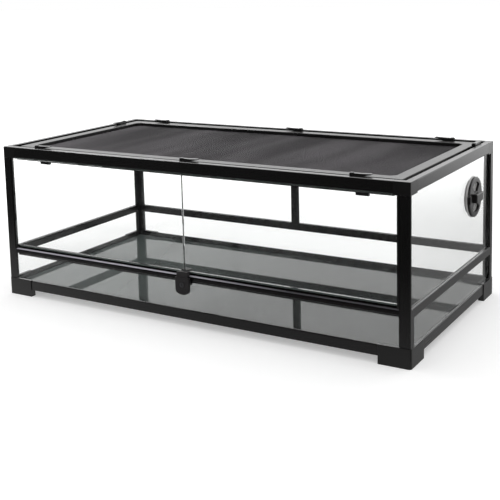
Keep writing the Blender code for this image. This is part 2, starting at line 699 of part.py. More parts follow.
def build_lock():
    """Centre lock: casting under the sill's nose, rising catch and a key cylinder."""
    half = LOCK_WIDTH / 2
    face = LOCK_STAND_OFF + LOCK_THICKNESS
    bowl = LOCK_BOTTOM + LOCK_BOWL
    arc = [Vector((half * cos(radians(t)), bowl - LOCK_BOWL * sin(radians(t)))) for t in range(0, 181, 12)]
    plate = [Vector((-half, LOCK_TOP)), Vector((half, LOCK_TOP))] + arc
    mesh = outline_mesh("lock_body", [plate], LOCK_STAND_OFF, face)
    body = piece("lock_body", mesh, LOCK_BLACK, face_matrix("front"))
    soften(body, LOCK_FACE_ROUND, 2, 50)
    block_half = LOCK_BLOCK_WIDTH / 2
    lap = LOCK_THICKNESS / 4
    block = rounded([(-LOCK_STAND_OFF - lap, LOCK_BLOCK_BOTTOM, 0), (WALL, LOCK_BLOCK_BOTTOM, 0),
                     (WALL, SILL_BOTTOM - FIT, 0), (-FIT, SILL_BOTTOM - FIT, 0), (-FIT, LOCK_TOP - FIT, 0),
                     (-LOCK_STAND_OFF - lap, LOCK_TOP - FIT, 0)])
    boolean(body, cutter("lock_block", outline_mesh("lock_block", [block], -block_half, block_half),
                         run_matrix("front")), "UNION")
    stem_half = CATCH_STEM_WIDTH / 2
    stem_front = LOCK_STAND_OFF + lap + CATCH_STEM_DEPTH
    stem_back, stem_foot = LOCK_STAND_OFF + lap, LOCK_TOP - CATCH_STEM_LENGTH
    guide = box_mesh("lock_guide", (-stem_half - FIT, stem_foot - 2 * FIT, stem_back - FIT),
                     (stem_half + FIT, LOCK_TOP + WALL, stem_front + FIT))
    boolean(body, cutter("lock_guide", guide, face_matrix("front")))
    barrel_face, barrel_back = face + CYLINDER_PROUD, face + CYLINDER_PROUD - CYLINDER_DEPTH
    bore = outline_mesh("lock_bore", [circle(0, CYLINDER_HEIGHT, CYLINDER_RADIUS + FIT, BARREL_STEPS)],
                        barrel_back - FIT, 2 * face)
    boolean(body, cutter("lock_bore", bore, face_matrix("front")))

    back, nose = DOOR_SET_BACK - FIT, SKIN / 2 - face
    section = rounded([(-FIT, LOCK_TOP + FIT, 0), (-FIT, MID_TOP + 2 * FIT, 0),
                       (back, MID_TOP + CATCH_CHAMFER / 2, 0), (back, CATCH_TOP, 0),
                       (CATCH_CHAMFER - face, CATCH_TOP, 0), (nose, CATCH_TOP - CATCH_CHAMFER, 0),
                       (nose, LOCK_TOP + FIT, 0)])
    mesh = outline_mesh("lock_catch", [section], -CATCH_WIDTH / 2, CATCH_WIDTH / 2)
    catch = piece("lock_catch", mesh, LOCK_BLACK, run_matrix("front"))
    soften(catch, LOCK_FACE_ROUND / 2, 1, 50)
    stem = box_mesh("catch_stem", (-stem_half, stem_foot, stem_back),
                    (stem_half, LOCK_TOP + SKIN, stem_front))
    boolean(catch, cutter("catch_stem", stem, face_matrix("front")), "UNION")

    centre = face_matrix("front") @ Matrix.Translation((0, CYLINDER_HEIGHT, 0))
    mesh = outline_mesh("lock_cylinder", [circle(0, 0, CYLINDER_RADIUS, BARREL_STEPS)],
                        barrel_back, barrel_face)
    smooth(mesh)
    barrel = piece("lock_cylinder", mesh, CYLINDER_GREY, centre)
    slot_x, slot_y = KEY_SLOT_WIDTH / 2, KEY_SLOT_LENGTH / 2
    slot = box_mesh("key_slot", (-slot_x, -slot_y, barrel_face - KEY_SLOT_DEPTH), (slot_x, slot_y, 2 * face))
    boolean(barrel, cutter("key_slot", slot, centre))


def latch_places():
    """Side, middle along the side and name of each screen latch."""
    middle = LATCH_MIDDLE_X
    return [("front", -LATCH_CORNER_X, "front_left"), ("front", middle, "front_middle"),
            ("front", LATCH_CORNER_X, "front_right"), ("rear", -LATCH_CORNER_X, "rear_right"),
            ("rear", -middle, "rear_middle"), ("rear", LATCH_CORNER_X, "rear_left"),
            ("left", -LATCH_LEFT_Y, "left"), ("right", LATCH_RIGHT_Y, "right")]


def latch_matrix(side, middle):
    """Local x along the side, y inwards, z up, with the origin on the latch's axis."""
    inward, reach = SIDES[side]
    direction = inward.cross(UP)
    along = middle - (LATCH_LONG - LATCH_SHORT) / 2
    matrix = Matrix((direction, inward, UP)).transposed().to_4x4()
    matrix.translation = inward * (LATCH_OFFSET - reach) + direction * along
    return matrix


def build_latches():
    """Turn latches that lie in the channel: a hub on the ledge, a block over it and a rising finger tip."""
    low, high = LATCH_UNDERSIDE, LATCH_UNDERSIDE + LATCH_THICKNESS
    tip = low + LATCH_LIFT
    profile = rounded([(-LATCH_SHORT, low, 0), (LATCH_BEND, low, 0), (LATCH_LONG, tip, EDGE_BREAK),
                       (LATCH_LONG, tip + LATCH_TIP, EDGE_BREAK), (LATCH_BEND, high, 0),
                       (-LATCH_SHORT, high, EDGE_BREAK)], SHORT_ARC)
    mesh = outline_mesh("latch", [profile], -LATCH_WIDTH / 2, LATCH_WIDTH / 2)
    mesh.transform(Matrix.Rotation(radians(90), 4, "X"))
    pattern = cutter("latch_pattern", mesh)
    soften(pattern, LATCH_ROUND, 1, 50)
    hub = outline_mesh("latch_hub", [circle(0, 0, LATCH_BOSS, 24)], LEDGE_TOP + FIT, high + LATCH_HEAD)
    boolean(pattern, cutter("latch_hub", hub), "UNION")
    shared = bake(pattern, "screen_latch")
    smooth(shared)
    bpy.data.objects.remove(pattern, do_unlink=True)
    for side, middle, name in latch_places():
        piece("screen_latch_" + name, shared, PLASTIC_BLACK, latch_matrix(side, middle))


def frame_plan(offset, corner):
    """Eight-sided outline that far in from the outer faces, with its corners cut."""
    x, y = LENGTH / 2 - offset, DEPTH / 2 - offset
    return [Vector(p) for p in ((corner - x, -y), (x - corner, -y), (x, corner - y), (x, y - corner),
                                (x - corner, y), (corner - x, y), (-x, y - corner), (-x, corner - y))]


def frame_loop(name, section):
    """Closed frame made by extruding one outline through each (offset, height, corner) of its section."""
    work = bmesh.new()
    plan = frame_plan(section[0][0], section[0][2])
    points = [work.verts.new((*place, section[0][1])) for place in plan]
    edges = [work.edges.new((points[k - 1], points[k])) for k in range(len(points))]
    for offset, height, corner in section[1:] + section[:1]:
        following = frame_plan(offset, corner)
        grown = bmesh.ops.extrude_edge_only(work, edges=edges)["geom"]
        for point in (item for item in grown if isinstance(item, bmesh.types.BMVert)):
            index = min(range(len(plan)), key=lambda k: (plan[k] - point.co.xy).length)
            point.co = (*following[index], height)
        edges = [item for item in grown if isinstance(item, bmesh.types.BMEdge)]
        plan = following
    bmesh.ops.remove_doubles(work, verts=work.verts, dist=MERGE)
    bmesh.ops.recalc_face_normals(work, faces=work.faces)
    mesh = bpy.data.meshes.new(name)
    work.to_mesh(mesh)
    work.free()
    return mesh


def build_screen():
    """Lift-off screen: a raised frame that rests on the ledge, and the mesh in its groove."""
    inner = SCREEN_SET_IN + SCREEN_FRAME
    mesh_low = SCREEN_BOTTOM + MESH_HEIGHT
    mesh_high = mesh_low + MESH
    shoulder = SCREEN_TOP - SCREEN_EDGE
    groove = inner - MESH_GROOVE
    groove_corner = SCREEN_CORNER + (2 - 2 ** 0.5) * MESH_GROOVE
    section = [(SCREEN_SET_IN, SCREEN_BOTTOM, SCREEN_OUTER_CORNER),
               (SCREEN_SET_IN, shoulder, SCREEN_OUTER_CORNER),
               (SCREEN_SET_IN + SCREEN_EDGE, SCREEN_TOP, SCREEN_OUTER_CORNER),
               (inner - SCREEN_EDGE, SCREEN_TOP, SCREEN_CORNER), (inner, shoulder, SCREEN_CORNER),
               (inner, mesh_high + FIT, SCREEN_CORNER), (groove, mesh_high + FIT, groove_corner),
               (groove, mesh_low - FIT, groove_corner), (inner, mesh_low - FIT, SCREEN_CORNER),
               (inner, SCREEN_BOTTOM, SCREEN_CORNER)]
    piece("screen_frame", frame_loop("screen_frame", section), FRAME_BLACK)
    sheet = frame_plan(groove + FIT, groove_corner)
    piece("screen_mesh", outline_mesh("screen_mesh", [sheet], mesh_low, mesh_high), MESH_BLACK)


def turned(name, profile, material, matrix):
    """Closed solid turned about the local Z axis from a profile that runs down its outer side."""
    mesh = bpy.data.meshes.new(name)
    work = bmesh.new()
    points = [work.verts.new((radius, 0, height)) for radius, height in profile]
    for first, second in zip(points, points[1:]):
        work.edges.new((first, second))
    if profile[0][0] > 0:
        work.edges.new((points[-1], points[0]))
    work.to_mesh(mesh)
    work.free()
    shape = piece(name, mesh, material, matrix)
    screw = shape.modifiers.new("turn", "SCREW")
    screw.axis = "Z"
    screw.steps = ROUND_STEPS
    screw.render_steps = ROUND_STEPS
    screw.use_merge_vertices = True
    screw.merge_threshold = 0.00001
    screw.use_smooth_shade = True
    return shape


def cut_fans(name, shape, centre, low, high, inner, outer, turns, width):
    """Cut sector-shaped windows above and below the middle of a vent disc."""
    for side in (90, 270):
        for turn in turns:
            window = f"{name}_window_{int(side + turn)}"
            sector = ring_sector(inner, outer, side + turn, width)
            boolean(shape, cutter(window, outline_mesh(window, [sector], low, high), centre))


def build_vent():
    """Rotary vent: grille flange through the glass, clamping nut inside, fan-windowed dial with a grip."""
    centre = face_matrix("right") @ Matrix.Translation((VENT_Y, VENT_Z, 0))
    outer_glass, inner_glass = -WALL - FIT, -WALL - FIT - GLASS
    neck = VENT_HOLE - FIT
    bore = neck - VENT_NECK_WALL
    back = outer_glass + FIT
    front = back + VENT_FLANGE_THICKNESS
    inner_end = inner_glass - FIT - VENT_NUT_THICKNESS
    grille = front - VENT_GRILLE
    profile = [(0, front), (VENT_FLANGE - DIAL_ROUND, front), (VENT_FLANGE, front - DIAL_ROUND),
               (VENT_FLANGE, back), (neck, back), (neck, inner_end), (bore, inner_end),
               (bore, grille), (0, grille)]
    flange = turned("vent_flange", profile, PLASTIC_BLACK, centre)
    cut_fans("flange", flange, centre, grille - WALL, front + WALL, GRILLE_INNER, GRILLE_OUTER,
             (-GRILLE_PITCH, 0, GRILLE_PITCH), GRILLE_ANGLE)
    nut_front = inner_glass - FIT
    shoulder = VENT_NUT_RADIUS - VENT_NUT_ROUND
    profile = [(shoulder, nut_front), (VENT_NUT_RADIUS, nut_front - VENT_NUT_ROUND),
               (VENT_NUT_RADIUS, inner_end + VENT_NUT_ROUND), (shoulder, inner_end),
               (VENT_HOLE, inner_end), (VENT_HOLE, nut_front)]
    turned("vent_nut", profile, PLASTIC_BLACK, centre)
    seat = front + RUNNING
    top = seat + DIAL_THICKNESS
    profile = [(0, top), (DIAL_RADIUS - 2 * DIAL_ROUND, top),
               (DIAL_RADIUS - DIAL_ROUND / 2, top - DIAL_ROUND / 2), (DIAL_RADIUS, top - DIAL_ROUND),
               (DIAL_RADIUS, seat), (0, seat)]
    dial = turned("vent_dial", profile, PLASTIC_BLACK, centre)
    cut_fans("dial", dial, centre, seat - WALL, top + WALL, FAN_INNER, FAN_OUTER, (0,), FAN_ANGLE)
    bar = rectangle(-GRIP_LENGTH / 2, -GRIP_WIDTH / 2, GRIP_LENGTH / 2, GRIP_WIDTH / 2, GRIP_ROUND)
    rib = outline_mesh("dial_grip", [bar], seat + DIAL_ROUND / 2, top + GRIP_RISE)
    grip = cutter("dial_grip", rib, centre)
    soften(grip, GRIP_ROUND, 3, 60)
    boolean(dial, grip, "UNION")
    nub = rectangle(-DIAL_RADIUS - DIAL_ROUND, -NUB_WIDTH / 2, NUB_LENGTH - DIAL_RADIUS, NUB_WIDTH / 2,
                    DIAL_ROUND)
    stop = outline_mesh("dial_nub", [nub], seat + DIAL_ROUND / 4, top + NUB_RISE)
    boolean(dial, cutter("dial_nub", stop, centre), "UNION")


build_base()
build_middle()
build_upper()
build_top()
build_doors()
build_lock()
build_latches()
build_screen()
build_vent()
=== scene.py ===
"""Dresses the glass terrarium: finishes of its frame, glass and fittings, woven mesh top and stage."""

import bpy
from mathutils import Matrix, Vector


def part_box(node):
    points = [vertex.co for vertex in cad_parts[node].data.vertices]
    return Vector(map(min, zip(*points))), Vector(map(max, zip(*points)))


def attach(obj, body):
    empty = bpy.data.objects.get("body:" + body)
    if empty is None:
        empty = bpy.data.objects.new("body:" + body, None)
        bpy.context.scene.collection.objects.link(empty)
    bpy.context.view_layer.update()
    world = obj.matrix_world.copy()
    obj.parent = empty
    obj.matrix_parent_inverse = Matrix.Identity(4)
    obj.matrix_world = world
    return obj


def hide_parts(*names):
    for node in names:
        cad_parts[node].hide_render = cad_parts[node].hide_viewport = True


bl_info = {
    "name": "Glass Terrarium Dressing",
    "version": (1, 0, 0),
    "blender": (4, 5, 0),
    "location": "View3D > Sidebar > Terrarium",
    "description": "Gives the packed glass terrarium its finishes, its woven mesh and a stage",
    "category": "Object",
}

from math import pi

import bpy
from bpy.props import FloatProperty, FloatVectorProperty, PointerProperty
from bpy.types import NodeSocket, Operator, Panel, PropertyGroup
from mathutils import Vector

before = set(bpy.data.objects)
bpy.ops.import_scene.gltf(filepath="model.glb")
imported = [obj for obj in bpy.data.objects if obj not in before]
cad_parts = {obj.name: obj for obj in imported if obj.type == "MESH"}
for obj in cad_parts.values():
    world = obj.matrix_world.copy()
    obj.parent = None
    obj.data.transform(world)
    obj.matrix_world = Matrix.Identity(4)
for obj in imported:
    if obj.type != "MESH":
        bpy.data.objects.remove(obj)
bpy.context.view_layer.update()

# CAD nodes by kind
CORNERS = ("front_left", "front_right", "rear_left", "rear_right")
SIDES = ("front", "rear", "left", "right")
LATCHES = ("front_left", "front_middle", "front_right", "rear_right", "rear_middle", "rear_left",
           "left", "right")
LONG_RAILS = ["base_rail_front", "base_rail_rear", "top_rail_front", "top_rail_rear", "middle_rail_rear"]
CROSS_RAILS = ["base_rail_left", "base_rail_right", "top_rail_left", "top_rail_right",
               "middle_rail_left", "middle_rail_right"]
POSTS = (["lower_post_" + corner for corner in CORNERS]
         + ["door_jamb_left", "door_jamb_right", "upper_post_rear_left", "upper_post_rear_right",
            "rear_centre_post"])
MOULDINGS = (["foot_" + corner for corner in CORNERS] + ["top_corner_" + corner for corner in CORNERS]
             + ["door_stile_left", "door_stile_right"])
PANES = (["lower_glass_" + side for side in SIDES]
         + ["rear_glass_left", "rear_glass_right", "side_glass_left", "side_glass_right",
            "door_glass_left", "door_glass_right"])
SEALS = ["door_seal_bottom", "door_seal_top"]

# Coating: the grain is drawn out along the piece, and its cloudy tone also stirs the roughness
ALONG_X = (0.04, 1, 1)
ALONG_Y = (1, 0.04, 1)
ALONG_Z = (1, 1, 0.04)
SEAL_GRAIN = (0.1, 1, 1)
EVEN_GRAIN = (1, 1, 1)
CLOUD_NOISE = (0.3, 0.7)
CLOUD_SWING = (-1.0, 1.0)
CLOUD_ON_ROUGHNESS = 0.12
COAT_ROUGHNESS = 0.18
SCREEN_FRAME_DULLER = 1.1

# Dust: how patchy it is, and how far a face has to look up to hold it
DUST_NOISE = (0.42, 0.72)
DUST_UPWARD = (0.2, 0.9)

# Painted highlight on the sill's nose, a pale line: the upward tilts where it starts and ends, and how it
# fades along X away from the lamp on the left
HIGHLIGHT_STARTS = (0.50, 0.66)
HIGHLIGHT_ENDS = (0.86, 0.97)
HIGHLIGHT_FALL = (1.0, 0.0)
HIGHLIGHT_FADE_X = (-0.05, 0.30)
HIGHLIGHT_FADE = (1.0, 0.12)

# Glass: waviness and haze of the panes, and the floor's painted light, lighter towards the left along X
RIPPLE_DEPTH = 0.00004
RIPPLE_STRENGTH = 0.15
HAZE_NOISE = (0.55, 0.8)
HAZE_ROUGHNESS = (0.0, 0.02)
PANE_SPECULAR = 0.35
PANE_IOR = 1.5
FLOOR_PAINTED_LIGHT_X = (-0.60, 0.25)
FLOOR_PAINTED_LIGHT = (4.0, 0.8)
FLOOR_DUST = 0.012
FLOOR_ROUGHNESS = (0.0, 0.05)
FLOOR_IOR = 1.85

# Mesh: soft streaks across it, and a lighter front, which is painted light: the light that shows through
# the weave
STREAK_TURN = (0.0, 0.0, 0.12)
STREAK_SCALE = (5.0, 0.9, 1.0)
STREAK_NOISE = (0.35, 0.7)
STREAK_TONE = (0.7, 1.7)
MESH_PAINTED_LIGHT_Y = (-0.27, 0.15)
MESH_PAINTED_LIGHT = (1.32, 1.0)
WIRE_ROUGHNESS = 0.5
WIRE_SIDES = 6

# Floor paper: its glow grows with the distance from the object, and mirrors see their own tone of it
FLOOR_EDGE = 60
PAPER_ROUGHNESS = 0.9
GLOW_REACH = (0.9, 2.4)
GLOW_STRENGTH = (0.36, 1.0)
GLINT_Y = (-0.95, -0.35)
GLINT_AHEAD = (0.02, 0.20)
GLINT_X = (-0.95, 0.1)
GLINT_ASIDE = (2.2, 1.0)
GLINT_BEYOND_Y = (0.6, 2.6)
GLINT_BEYOND = (0.0, 0.75)

# World: what mirrors see in front of the object and behind it, by the ray's direction along Y
SKY_Y = (-0.25, 0.15)
SKY_MIRRORED = (0.06, 0.85)

# Lamps: name, place, edge in metres and power in watts
LAMPS = (("soft_top", (0.2, 0.6, 2.6), 2.4, 20.0), ("small_left", (-2.0, -0.3, 2.7), 0.6, 14.0))
LAMP_TARGET = (0, 0, 0.2)
SENSOR_WIDTH = 36.0
CAMERA_REACH = 100.0

# Sockets of a Mix node that mixes colours; its names are shared by other kinds
MIX_FIRST, MIX_SECOND, MIX_RESULT = 6, 7, 2


def colour_property(name, description, default):
    """Colour that the panel shows."""
    return FloatVectorProperty(name=name, description=description, subtype="COLOR", default=default,
                               min=0, max=1)


class FrameFinish(PropertyGroup):
    """Finish of the black metal and plastic."""
    metal: colour_property("Metal", "Colour of the coated rails", (0.0032, 0.0029, 0.0029))
    plastic: colour_property("Plastic", "Colour of the moulded parts", (0.0050, 0.0046, 0.0047))
    # The pale line on the sill's nose is a painted highlight.
    line: colour_property("Line", "Colour of the pale line on the sill's nose", (0.58, 0.56, 0.63))
    gloss: FloatProperty(name="Roughness", description="Roughness of the coated rails", default=0.26,
                         min=0, max=1, subtype="FACTOR")
    grain: FloatProperty(name="Grain", description="Size of the coating's grain", default=0.0006,
                         min=0.0001, unit="LENGTH")


class FittingFinish(PropertyGroup):
    """Finish of the lock and the vent."""
    casting: colour_property("Casting", "Colour of the lock's body and catch", (0.022, 0.020, 0.021))
    key: colour_property("Key cylinder", "Colour of the key cylinder", (0.20, 0.20, 0.21))
    dial: colour_property("Dial", "Colour of the vent's dial", (0.010, 0.009, 0.009))
    flange: colour_property("Flange", "Colour of the vent's flange and nut", (0.60, 0.595, 0.59))


class GlassFinish(PropertyGroup):
    """Finish of the panes, the floor and the seals."""
    tint: colour_property("Tint", "Colour of the clear glass", (0.992, 0.998, 0.995))
    # The colour behind the floor glass is painted shade: the shaded table seen under the floor.
    floor: colour_property("Floor", "Colour behind the floor glass", (0.034, 0.041, 0.039))
    seal: colour_property("Seal", "Colour of the door seals", (0.070, 0.088, 0.080))


class MeshWeave(PropertyGroup):
    """Woven mesh of the top."""
    pitch: FloatProperty(name="Pitch", description="Distance between neighbouring wires", default=0.0013,
                         min=0.001, unit="LENGTH")
    wire: FloatProperty(name="Wire", description="Thickness of one wire", default=0.00034, min=0.0001,
                        unit="LENGTH")
    colour: colour_property("Colour", "Colour of the wires", (0.070, 0.0655, 0.0700))


class StageSetting(PropertyGroup):
    """Camera, even light and floor."""
    eye: FloatVectorProperty(name="Eye", description="Where the camera stands", subtype="TRANSLATION",
                             default=(1.3642, -2.2341, 0.8569))
    turn: FloatVectorProperty(name="Turn", description="The camera's rotation", subtype="EULER",
                              default=(1.42769, 0.02347, 0.53749))
    lens: FloatProperty(name="Lens", description="Focal length in millimetres", default=68.956, min=1)
    lift: FloatProperty(name="Shift", description="The camera's upward shift", default=-0.25)
    light: FloatProperty(name="World light", description="Strength of the even light", default=0.75,
                         min=0)
    floor: colour_property("Floor", "Colour of the floor", (0.80, 0.80, 0.80))


class TerrariumSettings(PropertyGroup):
    """All the dressing's settings."""
    metal_finish: PointerProperty(name="Frame", description="Black metal and plastic", type=FrameFinish)
    fitting_finish: PointerProperty(name="Fittings", description="Lock and vent", type=FittingFinish)
    glass_finish: PointerProperty(name="Glass", description="Panes, floor and seals", type=GlassFinish)
    weave: PointerProperty(name="Mesh", description="Woven mesh", type=MeshWeave)
    stage: PointerProperty(name="Stage", description="Camera, even light and floor", type=StageSetting)


def settings():
    """The values that the panel shows."""
    return bpy.context.scene.terrarium


def set_inputs(tree, node, inputs):
    """Give each input, by name or number, a value or another node's output."""
    for key, value in inputs.items():
        if isinstance(value, NodeSocket):
            tree.links.new(value, node.inputs[key])
        else:
            node.inputs[key].default_value = value


def add_node(tree, kind, inputs=None, **options):
    """Node with its options set first, because they decide which inputs it has."""
    node = tree.nodes.new(kind)
    for key, value in options.items():
        setattr(node, key, value)
    set_inputs(tree, node, inputs or {})
    return node


def number(tree, operation, first, second):
    """Output of one step of arithmetic."""
    return add_node(tree, "ShaderNodeMath", {0: first, 1: second}, operation=operation).outputs[0]


def ramp(tree, value, span, result=(0.0, 1.0), shape="LINEAR"):
    """Output that runs from the first result to the second while the value crosses the span."""
    return add_node(tree, "ShaderNodeMapRange",
                    {"Value": value, "From Min": span[0], "From Max": span[1],
                     "To Min": result[0], "To Max": result[1]}, interpolation_type=shape).outputs[0]


def noise(tree, place, scale, detail, roughness=0.5):
    """Output of a cloudy noise."""
    return add_node(tree, "ShaderNodeTexNoise", {"Vector": place, "Scale": scale, "Detail": detail,
                                                 "Roughness": roughness}).outputs["Fac"]


def scaled(tree, colour, factor):
    """Output of a colour made lighter or darker."""
    return add_node(tree, "ShaderNodeVectorMath", {0: colour, "Scale": factor},
                    operation="SCALE").outputs[0]


def blended(tree, factor, first, second):
    """Output of a colour between two others."""
    return add_node(tree, "ShaderNodeMix", {"Factor": factor, MIX_FIRST: first, MIX_SECOND: second},
                    data_type="RGBA").outputs[MIX_RESULT]


def raised(tree, height, depth, strength=1.0):
    """Normal of a surface that the height lifts by up to the depth."""
    return add_node(tree, "ShaderNodeBump",
                    {"Height": height, "Distance": depth, "Strength": strength}).outputs["Normal"]


def object_place(tree):
    """Output with the place on the object, in metres."""
    return add_node(tree, "ShaderNodeTexCoord").outputs["Object"]


def axes(tree, vector):
    """The outputs X, Y and Z of a vector."""
    return add_node(tree, "ShaderNodeSeparateXYZ", {0: vector}).outputs


def surface_up(tree):
    """Output with how far the face looks up, 1 for level."""
    return axes(tree, add_node(tree, "ShaderNodeNewGeometry").outputs["Normal"])["Z"]


def node_group(name, inputs, outputs):
    """Empty shader group with named sockets, given as (name, kind, default) and (name, kind)."""
    group = bpy.data.node_groups.new(name, "ShaderNodeTree")
    for label, kind, value in inputs:
        socket = group.interface.new_socket(label, in_out="INPUT", socket_type=kind)
        socket.default_value = value
    for label, kind in outputs:
        group.interface.new_socket(label, in_out="OUTPUT", socket_type=kind)
    return group


def grain_group():
    """Fine grain and cloudy tone of a coated or moulded surface, drawn out along one axis by Stretch."""
    group = node_group("coating_grain",
                       [("Colour", "NodeSocketColor", (0.01, 0.01, 0.01, 1)),
                        ("Stretch", "NodeSocketVector", EVEN_GRAIN),
                        ("Size", "NodeSocketFloat", 0.0006), ("Roughness", "NodeSocketFloat", 0.3),
                        ("Tone", "NodeSocketFloat", 0.25), ("Relief", "NodeSocketFloat", 0.5)],
                       [("Colour", "NodeSocketColor"), ("Roughness", "NodeSocketFloat"),
                        ("Height", "NodeSocketFloat")])
    start = add_node(group, "NodeGroupInput").outputs
    place = add_node(group, "ShaderNodeVectorMath", {0: object_place(group), 1: start["Stretch"]},
                     operation="MULTIPLY").outputs[0]
    fine = noise(group, place, number(group, "DIVIDE", 1.0, start["Size"]), detail=3.0, roughness=0.6)
    cloud = noise(group, place, scale=14.0, detail=4.0, roughness=0.55)
    swing = ramp(group, cloud, CLOUD_NOISE, CLOUD_SWING)
    lighter = number(group, "ADD", 1.0, number(group, "MULTIPLY", swing, start["Tone"]))
    rougher = number(group, "ADD", 1.0, number(group, "MULTIPLY", swing, CLOUD_ON_ROUGHNESS))
    add_node(group, "NodeGroupOutput",
             {"Colour": scaled(group, start["Colour"], lighter),
              "Roughness": number(group, "MULTIPLY", start["Roughness"], rougher),
              "Height": number(group, "MULTIPLY", fine, start["Relief"])})
    return group


def dust_group():
    """Pale dust that lies in soft patches on whatever faces up."""
    group = node_group("settled_dust",
                       [("Colour", "NodeSocketColor", (0.01, 0.01, 0.01, 1)),
                        ("Dust", "NodeSocketColor", (0.35, 0.34, 0.32, 1)),
                        ("Amount", "NodeSocketFloat", 0.05), ("Scale", "NodeSocketFloat", 30.0)],
                       [("Colour", "NodeSocketColor"), ("Mask", "NodeSocketFloat")])
    start = add_node(group, "NodeGroupInput").outputs
    patches = noise(group, object_place(group), start["Scale"], detail=5.0, roughness=0.65)
    spread = ramp(group, patches, DUST_NOISE)
    upward = ramp(group, surface_up(group), DUST_UPWARD)
    mask = number(group, "MULTIPLY", number(group, "MULTIPLY", spread, upward), start["Amount"])
    add_node(group, "NodeGroupOutput",
             {"Colour": blended(group, mask, start["Colour"], start["Dust"]), "Mask": mask})
    return group


def place_group(tree, name, build, inputs):
    """Outputs of the named group, which is built the first time it is asked for."""
    group = bpy.data.node_groups.get(name) or build()
    return add_node(tree, "ShaderNodeGroup", inputs, node_tree=group).outputs


def start_material(name):
    """New node material, its tree and its shader."""
    material = bpy.data.materials.new(name)
    material.use_nodes = True
    return material, material.node_tree, material.node_tree.nodes["Principled BSDF"]


def coated(name, colour, roughness, grain, stretch=EVEN_GRAIN, tone=0.25, depth=0.00002, metallic=0.0,
           dust=0.02, coat=0.0):
    """Coated or moulded finish with grain, cloudy tone and a little dust."""
    material, tree, shader = start_material(name)
    surface = place_group(tree, "coating_grain", grain_group,
                          {"Colour": (*colour, 1), "Stretch": stretch, "Size": grain,
                           "Roughness": roughness, "Tone": tone})
    dusty = place_group(tree, "settled_dust", dust_group, {"Colour": surface["Colour"], "Amount": dust})
    set_inputs(tree, shader, {"Base Color": dusty["Colour"], "Roughness": surface["Roughness"],
                              "Normal": raised(tree, surface["Height"], depth), "Metallic": metallic,
                              "Coat Weight": coat, "Coat Roughness": COAT_ROUGHNESS})
    return material


def painted_highlight_sill(name, colour, line, roughness, grain):
    """Coated sill whose round nose has a painted highlight, a pale line, brightest on the left towards
    the lamp.
    """
    material = coated(name, colour, roughness, grain, ALONG_X, coat=0.35)
    tree = material.node_tree
    shader = tree.nodes["Principled BSDF"]
    upward = surface_up(tree)
    rise = ramp(tree, upward, HIGHLIGHT_STARTS, shape="SMOOTHSTEP")
    fall = ramp(tree, upward, HIGHLIGHT_ENDS, HIGHLIGHT_FALL, "SMOOTHSTEP")
    # The painted highlight fades from the left towards the right, away from the lamp.
    left = ramp(tree, axes(tree, object_place(tree))["X"], HIGHLIGHT_FADE_X, HIGHLIGHT_FADE)
    mask = number(tree, "MULTIPLY", number(tree, "MULTIPLY", rise, fall), left)
    plain = shader.inputs["Base Color"].links[0].from_socket
    set_inputs(tree, shader, {"Base Color": blended(tree, mask, plain, (*line, 1))})
    return material


def clear_glass(name, tint):
    """Clear float glass with the faintest waviness in its faces and a trace of haze."""
    material, tree, shader = start_material(name)
    place = object_place(tree)
    wave = noise(tree, place, scale=6.0, detail=1.0)
    smear = noise(tree, place, scale=3.0, detail=6.0, roughness=0.7)
    set_inputs(tree, shader, {"Base Color": (*tint, 1),
                              "Roughness": ramp(tree, smear, HAZE_NOISE, HAZE_ROUGHNESS),
                              "Normal": raised(tree, wave, RIPPLE_DEPTH, RIPPLE_STRENGTH),
                              "Transmission Weight": 1.0, "Specular IOR Level": PANE_SPECULAR,
                              "IOR": PANE_IOR})
    return material


def floor_glass(name, colour):
    """Glass with a mirror gloss and a trace of dust; its dark colour is painted shade, the shaded table
    beneath, and it is lighter on the left by painted light.
    """
    material, tree, shader = start_material(name)
    # Painted light: the floor's colour made lighter towards the left.
    painted_light_left = ramp(tree, axes(tree, object_place(tree))["X"], FLOOR_PAINTED_LIGHT_X, FLOOR_PAINTED_LIGHT, "SMOOTHSTEP")
    dusty = place_group(tree, "settled_dust", dust_group,
                        {"Colour": scaled(tree, colour, painted_light_left), "Amount": FLOOR_DUST})
    sheen = ramp(tree, dusty["Mask"], (0.0, FLOOR_DUST), FLOOR_ROUGHNESS)
    set_inputs(tree, shader, {"Base Color": dusty["Colour"], "Roughness": sheen, "IOR": FLOOR_IOR})
    return material


def mesh_wire(name, colour):
    """Black wire whose tone runs in soft streaks, and lighter towards the front as painted light, the
    light that shows through the weave.
    """
    material, tree, shader = start_material(name)
    place = object_place(tree)
    drawn_out = add_node(tree, "ShaderNodeMapping",
                         {"Vector": place, "Rotation": STREAK_TURN, "Scale": STREAK_SCALE}).outputs[0]
    streak = ramp(tree, noise(tree, drawn_out, scale=2.0, detail=1.0), STREAK_NOISE, STREAK_TONE)
    # Painted light: the wires made lighter towards the front, where light shows through the weave.
    front_painted_light = ramp(tree, axes(tree, place)["Y"], MESH_PAINTED_LIGHT_Y, MESH_PAINTED_LIGHT)
    tone = scaled(tree, colour, number(tree, "MULTIPLY", streak, front_painted_light))
    set_inputs(tree, shader, {"Base Color": tone, "Roughness": WIRE_ROUGHNESS})
    return material


